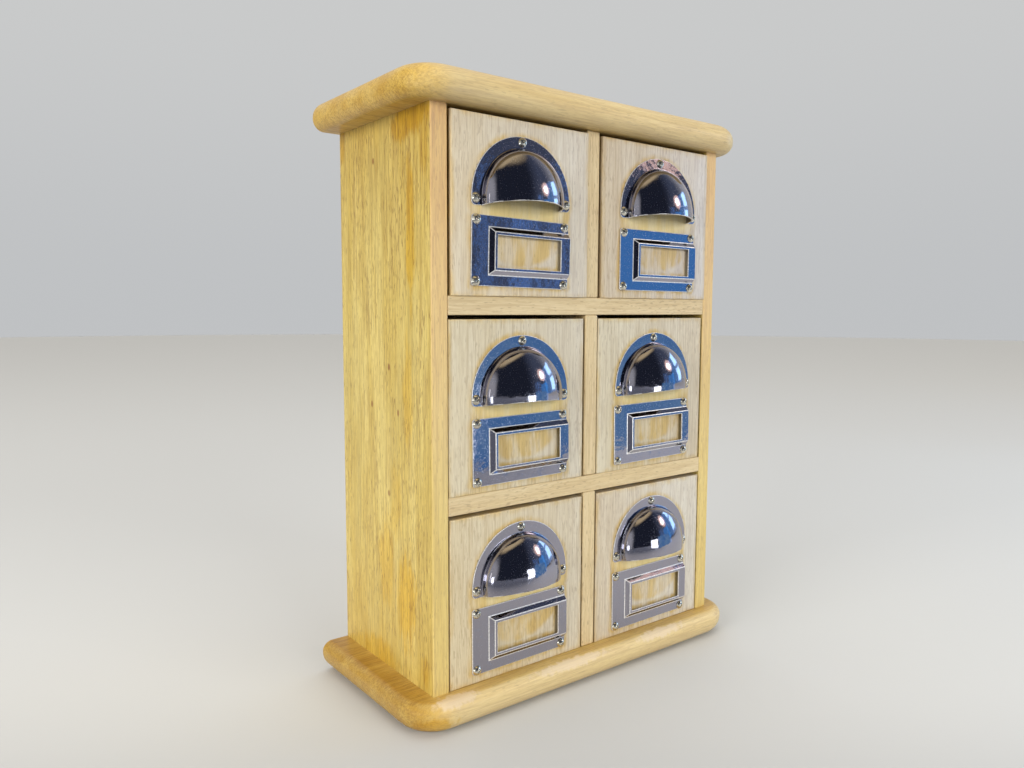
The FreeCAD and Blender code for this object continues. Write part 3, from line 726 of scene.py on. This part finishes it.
def rounded_slab(node, upper_round, material):
    """A closed slab skin in the place of a frame node."""
    low, high = (Vector(corner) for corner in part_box(node))
    form = bmesh.new()
    rings = []
    for inset, height in slab_rings(low, high, upper_round):
        ring = []
        for point in outline(low, high, inset * MM):
            place = Vector((point.x, point.y, low.z + height * MM))
            rub = (noise.noise(place * SANDING_LUMPS) + 1) / 2 * SANDING * MM
            inward = Vector((-math.copysign(1, place.x) if abs(place.x) > SLAB_END_X * MM else 0,
                             1 if place.y < high.y - SLAB_BACK * MM else 0, 0))
            ring.append(form.verts.new(place + inward * rub))
        rings.append(ring)
    skin(form, rings)
    item = smooth(solid_of(node + "_rounded", form), CREASE_SHOWS)
    finish_piece(item, [material], "carcass", node)


rounded_slab("top_slab", 9.2, top_wood)
rounded_slab("base_slab", 5.0, base_wood)

# %% [markdown]
# ## Softened boards
# A sawn board's edges are knocked off with sandpaper. A board here is a copy of its solid: its triangles are
# joined into flat faces, and only its long edges are bevelled, so that the drilled holes inside the joints
# stay as they are. Ends that are glued against another board keep their sharp edges. Pressed plates have
# their shallow folds eased as well, and every edge, however short.

# %% One softened board
LONG_EDGE = 2.4
LEAST_FOLD = 20
CORNER_FOLD = 60


def eased(form, edges, width, material_number, clamp=True):
    """Bevel some edges of a bmesh by a width in mm. The new faces get one of the piece's materials."""
    bmesh.ops.bevel(form, geom=edges, offset=width * MM, offset_type="OFFSET", segments=3, profile=0.5,
                    affect="EDGES", clamp_overlap=clamp, material=material_number)


def long_edges(form, least, most, shortest=LONG_EDGE):
    """The edges over a length whose faces fold by an angle between two limits, in degrees."""
    found = []
    for edge in form.edges:
        if len(edge.link_faces) == 2 and edge.calc_length() > shortest * MM:
            if least < math.degrees(abs(edge.calc_face_angle_signed(0))) < most:
                found.append(edge)
    return found


def at_end(edge, low, high, axis):
    """Whether an edge lies in a box's lower or upper end along an axis: 0, 1 or 2 for X, Y or Z."""
    ends = [vert.co[axis] for vert in edge.verts]
    return any(all(abs(end - face[axis]) < 0.01 * MM for end in ends) for face in (low, high))


def softened(node, ease, materials, body, sharp_above=40, fold_ease=0, glued_axis=None):
    """A copy of a board or plate with its long edges eased, apart from those round its glued ends."""
    edge_number = len(materials) - 1
    form = merged_copy(node)
    bmesh.ops.dissolve_limit(form, angle_limit=math.radians(0.6), verts=form.verts, edges=form.edges)
    low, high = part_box(node)
    if fold_ease:
        eased(form, long_edges(form, LEAST_FOLD, CORNER_FOLD), fold_ease, edge_number)
    corners = long_edges(form, CORNER_FOLD, 180, 0 if fold_ease else LONG_EDGE)
    if glued_axis is not None:
        corners = [edge for edge in corners if not at_end(edge, low, high, glued_axis)]
    if ease:
        eased(form, corners, ease, edge_number, clamp=not fold_ease)
    item = smooth(solid_of(node + "_board", form), sharp_above)
    finish_piece(item, materials, body, node)


# %% Carcass boards
for side in SIDES:
    softened("carcass_side_" + side, 0.7, [side_wood[side]], "carcass", glued_axis=2)
for number, level_name in enumerate(("lower", "upper")):
    wood = board_material(f"shelf wood {level_name}", FACE_TONES, ALONG_X, 30 + number, stain=edge_stain)
    softened("shelf_" + level_name, 0.45, [wood], "carcass")
for number, row_name in enumerate(("lower", "middle", "upper")):
    wood = board_material(f"divider wood {row_name}", FACE_TONES, ALONG_Z, 34 + number, stain=edge_stain)
    softened("divider_" + row_name, 1.0, [wood], "carcass")

# %% [markdown]
# ## Drawer boards
# Each drawer is a front with two sides, a back and a thin bottom. The front's edges are eased in its solid
# already, so its copy is only smoothed. The box behind it is plainer wood with the thinnest coat of varnish.

# %% Drawer boards
for number, drawer in enumerate(DRAWERS):
    body = drawer + "_drawer"
    softened(drawer + "_front", 0, [front_wood[drawer]], body)
    box_wood = board_material(f"drawer box wood {drawer}", TRAY_TONES, ALONG_Y, 50 + number, 0.35, 0.4,
                              coat=0.05)
    for part in ("side_left", "side_right", "back"):
        softened(f"{drawer}_{part}", 0.35, [box_wood], body)

# %% [markdown]
# ## Thin plywood and dowels
# The back panel and the drawer bottoms are thin ply, and dowels hold the carcass. Their solids have the
# right shape already, so they stay and only get a finish, which is calmer for ply.

# %% Materials for the nodes that stay
PLY_TONES = (shade(218, 194, 150), shade(204, 176, 128), shade(178, 144, 98), shade(140, 104, 62))


def dress(node, material):
    """A better material in a frame node's own slots."""
    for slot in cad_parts[node].material_slots:
        slot.material = material


dress("back_panel", board_material("back panel ply", PLY_TONES, ALONG_Z, 70, 0.3, 0.3, coat=0.05))
dress("carcass_dowels", board_material("dowel wood", FACE_TONES, ALONG_Z, 72, 0.3, 0.2, coat=0.0))
for number, drawer in enumerate(DRAWERS):
    ply = board_material(f"drawer bottom ply {drawer}", PLY_TONES, ALONG_X, 80 + number, 0.3, 0.3, coat=0.05)
    dress(drawer + "_bottom", ply)

# %% [markdown]
# ## Turned forms with Geometry Nodes
# A pull's dome, a screw's head and a pin's head are turned forms: a section swept once round an axis. One
# node tree makes them all. It lays out a grid, takes each column's point from the section, and turns each
# row by its share of the full circle. The section is closed, so the result is a closed skin once its seam is
# merged.

# %% Running a node tree
def run_tree(name, item, tree, **inputs):
    """Run a node tree on an object and return the result as a plain mesh."""
    step = item.modifiers.new(name, "NODES")
    step.node_group = tree
    for socket in tree.interface.items_tree:
        key = socket.name.replace(" ", "_")
        if socket.in_out == "INPUT" and key in inputs:
            step[socket.identifier] = inputs[key]
    mesh = baked(name, item)
    item.modifiers.clear()
    return mesh


# %% The turning tree: section points in X and Y are turned round the Y axis
turning, source, made = new_group(
    "turned form", {"Section": "Geometry", "Steps round": "Int", "Section points": "Int"},
    {"Form": "Geometry"}, "GeometryNodeTree")
rows = sum_of("ADD", source["Steps round"], 1)
columns = sum_of("ADD", source["Section points"], 1)
grid = add("GeometryNodeMeshGrid", Vertices_X=rows, Vertices_Y=columns)
index = add("GeometryNodeInputIndex").outputs[0]
row = sum_of("FLOOR", sum_of("DIVIDE", index, columns))
point = sum_of("MODULO", sum_of("MODULO", index, columns), source["Section points"])
sample = add("GeometryNodeSampleIndex", {"data_type": "FLOAT_VECTOR", "domain": "POINT"},
             Geometry=source["Section"], Index=point)
put(add("GeometryNodeInputPosition").outputs[0], sample.inputs["Value"])
angle = times(sum_of("DIVIDE", row, source["Steps round"]), 2 * math.pi)
swept = add("ShaderNodeVectorRotate", {"rotation_type": "Y_AXIS"}, Vector=sample.outputs[0], Angle=angle)
moved = add("GeometryNodeSetPosition", Geometry=grid.outputs[0], Position=swept.outputs[0])
merged = add("GeometryNodeMergeByDistance", Geometry=moved.outputs[0], Distance=0.001 * MM)
put(merged.outputs[0], made["Form"])


def turned(name, section, steps=96):
    """A closed skin turned round the Y axis from a closed section of (radius, depth) in mm."""
    mesh = bpy.data.meshes.new(name + "_section")
    mesh.from_pydata([(radius * MM, -depth * MM, 0) for radius, depth in section], [], [])
    item = object_of(name + "_section", mesh)
    result = run_tree(name, item, turning, Steps_round=steps, Section_points=len(section))
    bpy.data.objects.remove(item)
    form = bmesh.new()
    form.from_mesh(result)
    bmesh.ops.dissolve_degenerate(form, dist=0.0005 * MM, edges=form.edges)
    bmesh.ops.recalc_face_normals(form, faces=form.faces)
    form.to_mesh(result)
    form.free()
    return result


# %% [markdown]
# ## The cup pull
# A pull is one pressed sheet: a flat flange, a small blend, a tight shoulder and a flatter cap. Its section
# is turned into a whole bowl and then trimmed by a cutter with the pull's outline: a half circle on two
# short legs, cut along a slope below, so the rim lifts towards the front for a fingertip.

# %% The pull's section
DOME_RADIUS = 24.4
DOME_HEIGHT = 14.5
SHOULDER = 9.5
BLEND = 0.6
LEG = 3.8
RIM_RISE = 2.3


def arc(centre, radius, start, end, steps):
    """Points on an arc, in degrees."""
    points = []
    for step in range(steps + 1):
        angle = math.radians(start + (end - start) * step / steps)
        points.append((centre[0] + radius * math.cos(angle), centre[1] + radius * math.sin(angle)))
    return points


def dome_arcs(trim):
    """Shoulder and cap of the dome, from the axis outwards. Trim moves them inwards."""
    wide, deep, shoulder = DOME_RADIUS, DOME_HEIGHT, SHOULDER
    cap = (wide ** 2 + deep ** 2 - 2 * wide * shoulder) / (2 * (deep - shoulder))
    meet = math.degrees(math.atan2(cap - deep, wide - shoulder))
    cap_points = arc((0, deep - cap), cap - trim, 90, meet, 22)
    shoulder_points = arc((wide - shoulder, 0), shoulder - trim, meet, 0, 16)
    return cap_points + shoulder_points[1:]


outer = [point for point in dome_arcs(0) if point[1] > PLATE + BLEND]
blend_out = arc((DOME_RADIUS + BLEND - 0.1, PLATE + BLEND), BLEND, 180, 270, 5)
flange_edge = [(PULL_RADIUS + 1, PLATE), (PULL_RADIUS + 1, 0)]
inner = [point for point in reversed(dome_arcs(PLATE)) if point[1] >= 0]
pull_section = outer + blend_out + flange_edge + inner
bowl_mesh = turned("pull_bowl", pull_section)
print("pull section points:", len(pull_section), "bowl faces:", len(bowl_mesh.polygons))

# %% [markdown]
# ### Trimming the bowl
# The cutter is a solid with the pull's outline, deeper than the dome. An exact boolean keeps what the two
# share. The trimmed edges then get a hair of a bevel, because pressed and polished sheet catches a bright
# line there. The bevel takes the paler edge metal, which paints that bright line as a highlight.

# %% The pull's cutter and the finished pull
FOOT_ROUND = 2
SHARP_FOLD = 50
pull_outline = arc((0, 0), PULL_RADIUS, 0, 180, 72)
pull_outline += arc((FOOT_ROUND - PULL_RADIUS, FOOT_ROUND - LEG), FOOT_ROUND, 180, 270, 6)
pull_outline += arc((PULL_RADIUS - FOOT_ROUND, FOOT_ROUND - LEG), FOOT_ROUND, 270, 360, 6)


def pull_cutter():
    """A solid of the pull's outline whose underside slopes up in front of the plate."""
    slope = RIM_RISE / (DOME_HEIGHT - PLATE)
    form = bmesh.new()
    rings = []
    for depth in (-0.5, PLATE, 20.0):
        lift = max(0, depth - PLATE) * slope
        rings.append([form.verts.new(mm(x, -depth, z + lift if z < 0 else z)) for x, z in pull_outline])
    skin(form, rings)
    return solid_of("pull_cutter", form)


def pull_template():
    """The pull at the origin, its dome's axis along Y."""
    item = object_of("pull_template", bowl_mesh)
    for material in (chrome, edge_highlight_metal):
        item.data.materials.append(material)
    cutter = pull_cutter()
    worked(item, "BOOLEAN", operation="INTERSECT", solver="EXACT", object=cutter)
    bpy.data.objects.remove(cutter)
    # The bevel's faces take material 1, the edge metal that paints the highlight lines.
    worked(item, "BEVEL", width=0.3 * MM, use_clamp_overlap=False, segments=3, material=1,
           limit_method="ANGLE", angle_limit=math.radians(SHARP_FOLD))
    return smooth(item, SHARP_FOLD)


pull_form = pull_template()
print("pull faces:", len(pull_form.data.polygons))

# %% Pulls on their drawers
def placed_copy(name, template, middle, lean):
    """A copy of a template with its place and lean in its mesh."""
    mesh = template.data.copy()
    mesh.name = name
    mesh.transform(Matrix.Translation(middle) @ Matrix.Rotation(-lean, 4, "Y"))
    return object_of(name, mesh)


for drawer, spot in PLACES.items():
    pull = placed_copy(drawer + "_pull", pull_form, spot["pull"], spot["pull_lean"])
    finish_piece(pull, [chrome, edge_highlight_metal], drawer + "_drawer", drawer + "_cup_pull")
bpy.data.objects.remove(pull_form)

# %% [markdown]
# ## The label frames
# A label frame is flat plate with a raised, mitred window, open at its right end so a card can slide in. Its
# solid is all flat faces, so a softened copy is the whole job. Its folds and edges take the paler edge metal,
# a painted highlight, since in a polished plate only those lines catch the light.

# %% Label frames
for drawer in DRAWERS:
    softened(drawer + "_label_frame", 0.3, [chrome, edge_highlight_metal], drawer + "_drawer",
             sharp_above=35, fold_ease=0.3)

# %% [markdown]
# ## Screws
# Seven round-head screws with a cross slot hold each drawer's hardware. One is modelled with care: a turned
# head, cut by two crossed bars. A second node tree sets a copy on every point and gives each its own turn
# from a fixed seed, as nobody lines up the slots of small screws.

# %% One screw
HEAD_RADIUS = 2.5
CROSS_LONG = 2.6
CROSS_WIDE = 0.6
CROSS_DEEP = 0.9
CROSS_TAPER = 0.72
SHANK_RADIUS = 1.2


def screw_section(head_radius, head_height, shank, length):
    """Section of a round head with its shank, from the crown out and back to the point."""
    ball = (head_radius ** 2 + head_height ** 2) / (2 * head_height)
    rim = math.degrees(math.asin((ball - head_height) / ball))
    crown = arc((0, head_height - ball), ball, 90, rim + 4, 12)
    return crown + [(head_radius, 0.12), (head_radius - 0.08, 0), (shank, 0), (shank, -length + 1),
                    (0.2, -length), (0, -length)]


def screw_template(name, section, cross):
    """A turned screw or pin, if wanted with a cross cut into its head."""
    item = object_of(name, turned(name, section, steps=40))
    if cross:
        for wide, high in ((CROSS_LONG, CROSS_WIDE), (CROSS_WIDE, CROSS_LONG)):
            form = bmesh.new()
            bmesh.ops.create_cube(form, size=1)
            bmesh.ops.scale(form, vec=mm(wide, 2 * CROSS_DEEP, high), verts=form.verts)
            for vert in form.verts:
                if vert.co.y > 0:
                    vert.co.x *= CROSS_TAPER
                    vert.co.z *= CROSS_TAPER
            bmesh.ops.translate(form, vec=mm(0, -HEAD_HEIGHT, 0), verts=form.verts)
            bar = solid_of("bar", form)
            worked(item, "BOOLEAN", operation="DIFFERENCE", solver="EXACT", object=bar)
            bpy.data.objects.remove(bar)
        worked(item, "BEVEL", width=0.06 * MM, segments=1, limit_method="ANGLE",
               angle_limit=math.radians(SHARP_FOLD))
    return smooth(item, sharp_above=45)


section = screw_section(HEAD_RADIUS, HEAD_HEIGHT, SHANK_RADIUS, 6.6)
screw = screw_template("screw", section, cross=True)
print("screw faces:", len(screw.data.polygons))

# %% The setting tree: a fastener on each point, turned round Y by a random angle
setting, source, made = new_group(
    "set fasteners", {"Points": "Geometry", "Fastener": "Object", "Most turn": "Float", "Seed": "Int"},
    {"Form": "Geometry"}, "GeometryNodeTree")
template = add("GeometryNodeObjectInfo", Object=source["Fastener"])
chance = add("FunctionNodeRandomValue", {"data_type": "FLOAT"}, Seed=source["Seed"])
put(source["Most turn"], chance.inputs[3])
turn = add("ShaderNodeCombineXYZ", Y=chance.outputs[1])
points = add("GeometryNodeMeshToPoints", Mesh=source["Points"])
copies = add("GeometryNodeInstanceOnPoints", Points=points.outputs[0],
             Instance=template.outputs["Geometry"], Rotation=turn.outputs[0])
real = add("GeometryNodeRealizeInstances", Geometry=copies.outputs[0])
put(real.outputs[0], made["Form"])


def set_fasteners(name, points, fastener, seed):
    """A plain mesh object with a fastener on each point."""
    mesh = bpy.data.meshes.new(name + "_points")
    mesh.from_pydata(points, [], [])
    item = object_of(name, mesh)
    item.data = run_tree(name, item, setting, Fastener=fastener, Most_turn=math.pi / 2, Seed=seed)
    return item


# %% Screws on their drawers
for number, (drawer, spot) in enumerate(PLACES.items()):
    screws = set_fasteners(drawer + "_screw_set", spot["screws"], screw, 5 + number)
    finish_piece(screws, [screw_metal], drawer + "_drawer", drawer + "_screws")
bpy.data.objects.remove(screw)

# %% [markdown]
# ## Panel pins
# The thin back is held by small pins with flat heads, driven flush. They are the same kind of job as the
# screws, so the same two trees make them, turned round to face the back.

# %% Pins on the back panel
PIN_SECTION = [(0, 14), (0.1, 14), (0.6, 12.5), (0.6, 0.8), (1.2, 0.7), (1.2, 0.12), (1.1, 0.02), (0, 0)]
pin = screw_template("pin", PIN_SECTION, cross=False)
pin_points = [Vector(((low.x + high.x) / 2, high.y, (low.z + high.z) / 2))
              for low, high in loose_boxes("back_panel_pins")]
pins = set_fasteners("back_pin_set", pin_points, pin, 3)
finish_piece(pins, [pin_metal], "carcass", "back_panel_pins")
bpy.data.objects.remove(pin)
print("pins:", len(pin_points))

# %% [markdown]
# ## Floor and room
# Polished metal only looks like metal when it has something to mirror, so the room and the floor are pale
# behind the cabinet and fade to dark and slate grey towards the viewer. Black cards could do that too, but a
# soft fade leaves no hard edges in the plating.

# %% Floor
FLOOR_PALE = shade(206, 207, 207)
FLOOR_SLATE = shade(108, 113, 124)
FLOOR_RADIUS = 6
AWAY = (math.sin(CAMERA_YAW), math.cos(CAMERA_YAW), 0)

floor_material, place = blank(bpy.data.materials.new("floor"))
depth = vector_sum("DOT_PRODUCT", place, AWAY)
colour = mix(fade(depth, -0.04, -0.42), FLOOR_PALE, FLOOR_SLATE)
close(add("ShaderNodeBsdfPrincipled", Base_Color=colour, Roughness=0.85))
form = bmesh.new()
bmesh.ops.create_circle(form, cap_ends=True, segments=96, radius=FLOOR_RADIUS)
floor = solid_of("floor", form)
floor.data.materials.append(floor_material)
print("floor radius:", FLOOR_RADIUS, "m")

# %% Room
ROOM_DARK = shade(44, 49, 62)
ROOM_SLATE = shade(92, 102, 122)
ROOM_LOW = shade(196, 198, 200)
ROOM_TOP = shade(246, 222, 170)

bpy.context.scene.world, direction = blank(bpy.data.worlds.new("room"), "Generated")
across, up = along(direction, "X"), along(direction, "Z")
pale_side = mix(fade(up, 0.0, 0.35), ROOM_LOW, FLOOR_PALE)
dark_side = mix(fade(across, 0.3, 0.66), ROOM_DARK, ROOM_SLATE)
dark_side = mix(fade(across, -0.55, -0.85), dark_side, pale_side)
dark_side = mix(fade(up, 0.82, 0.95), dark_side, ROOM_TOP)
behind = vector_sum("DOT_PRODUCT", direction, AWAY)
colour = mix(fade(behind, 0.62, 0.12), pale_side, dark_side)
close(add("ShaderNodeBackground", Color=colour, Strength=0.95), "ShaderNodeOutputWorld")

# %% [markdown]
# ## Lamps
# A large soft lamp stands in front, a second one on the left returns its light, and a broad sky is above.
# Their powers are set so that a colour comes out about as it was written. The plating would show them as
# blank white sheets, so mirrors don't see them. What it does show is smaller: window panes, cards and
# strips, which add little light, and a few glints that light nothing but what mirrors them. Of these only
# the panes can be seen directly. A glint's power is worked out from how bright it should look.

# %% The soft light
MIDDLE = (0, 0, 0.16)


def lamp(name, place, target, wide, high, power, tint, unseen_by=()):
    """A soft rectangular lamp aimed at a point, hidden from some kinds of ray."""
    data = bpy.data.lights.new(name, "AREA")
    data.shape = "RECTANGLE"
    data.size = wide
    data.size_y = high
    data.energy = power
    data.color = tint
    item = object_of(name, data)
    item.location = place
    item.rotation_euler = (Vector(target) - Vector(place)).to_track_quat("-Z", "Y").to_euler()
    for kind in unseen_by:
        setattr(item, "visible_" + kind, False)
    return item


lamp("front", (0.4, -2.7, 0.9), MIDDLE, 2.0, 1.4, 52, (1.0, 0.99, 0.97), ["glossy"])
lamp("bounce", (-2.6, -0.5, 0.95), MIDDLE, 1.6, 1.7, 56, (1.0, 0.985, 0.95), ["glossy"])
sky = bpy.data.lights.new("sky", "SUN")
sky.energy = 1.35
sky.angle = math.radians(100)
sky_item = object_of("sky", sky)
sky_item.visible_glossy = False
sky_item.rotation_euler = (math.radians(-12), math.radians(8), 0)

# %% Window panes and cards
PANE = 0.28
WINDOW_AT = (1.2466, -0.3326, 0.5)
WINDOW_BLUE = (0.42, 0.7, 1.0)
SLIM_CARDS = ((0.625, -1.02, 0.016), (0.70, -0.99, 0.03), (0.765, -0.955, 0.02))

for up_step in (-0.18, 0.18):
    place = Vector(WINDOW_AT) + Vector((0, 0, up_step))
    pane = lamp("window_pane", place, MIDDLE, PANE, PANE, 0.22, WINDOW_BLUE)
    pane.data.spread = math.radians(110)
lamp("strip", (-2.0, -0.3, 0.35), MIDDLE, 0.12, 0.6, 0.4, (1.0, 0.97, 0.9), ["camera"])
lamp("blue_card", (0.74, -0.65, 0.18), (0, 0, 0.18), 0.26, 0.36, 0.19, (0.01, 0.36, 1.0), ["camera"])
lamp("sky_card", (1.55, -0.62, 0.55), MIDDLE, 0.9, 0.9, 1.3, (0.06, 0.4, 1.0), ["camera"])
for x, y, wide in SLIM_CARDS:
    lamp("slim_card", (x, y, 0.34), (0, 0, 0.34), wide, 0.3, wide * 0.8, (0.14, 0.4, 1.0), ["camera"])

# %% Glints: a round lamp with a warm rim, and two low windows
GLINT_FOCUS = Vector((0, 0, 0.12))
ROUND_WAY = Vector((0.73, -0.6, 0.42))
ROUND_LAMP = ((1.2, 0.2, 5.0, (1.0, 0.95, 0.88)), (1.23, 0.36, 1.4, (1.0, 0.66, 0.48)))
LOW_WINDOWS = (((0.15, -0.5, 0.085), 0.12, 0.11), ((-0.61, -0.27, 0.09), 0.14, 0.12))
WINDOW_GLOW = 5.0

for distance, wide, glow, tint in ROUND_LAMP:
    power = glow * math.pi ** 2 * wide * wide / 4
    disc = lamp("round_lamp", ROUND_WAY * distance + GLINT_FOCUS, GLINT_FOCUS, wide, wide, power, tint,
                ["camera", "diffuse"])
    disc.data.shape = "DISK"
for place, wide, high in LOW_WINDOWS:
    lamp("low_window", place, (0, -0.05, 0.1), wide, high, WINDOW_GLOW * math.pi * wide * high,
         (0.9, 0.96, 1.0), ["camera", "diffuse"])
print("lamps:", len(bpy.data.lights))

# %% [markdown]
# ## A blue board
# The middle drawers' plates mirror the strip of floor about half a metre away, and there the light is blue.
# An upright board with a mottled glow stands there for mirrors alone. It lights nothing and casts no shadow.

# %% The board that only mirrors see
BOARD_BLUE = shade(92, 146, 206)
BOARD_PALE = shade(140, 182, 220)
BOARD_Y = -0.55
BOARD_CORNERS = ((0.26, 0.0), (0.74, 0.0), (0.74, 0.185), (0.26, 0.185))

board_glow, place = blank(bpy.data.materials.new("mirror board"))
mottle = cloud(place, (9, 9, 14), detail=3.0)
colour = mix(fade(mottle, 0.4, 0.62), BOARD_BLUE, BOARD_PALE)
close(add("ShaderNodeEmission", Color=colour, Strength=1.0))
form = bmesh.new()
form.faces.new([form.verts.new((x, BOARD_Y, z)) for x, z in BOARD_CORNERS])
mirror_board = solid_of("mirror_board", form)
mirror_board.data.materials.append(board_glow)
for kind in ("camera", "diffuse", "shadow"):
    setattr(mirror_board, "visible_" + kind, False)
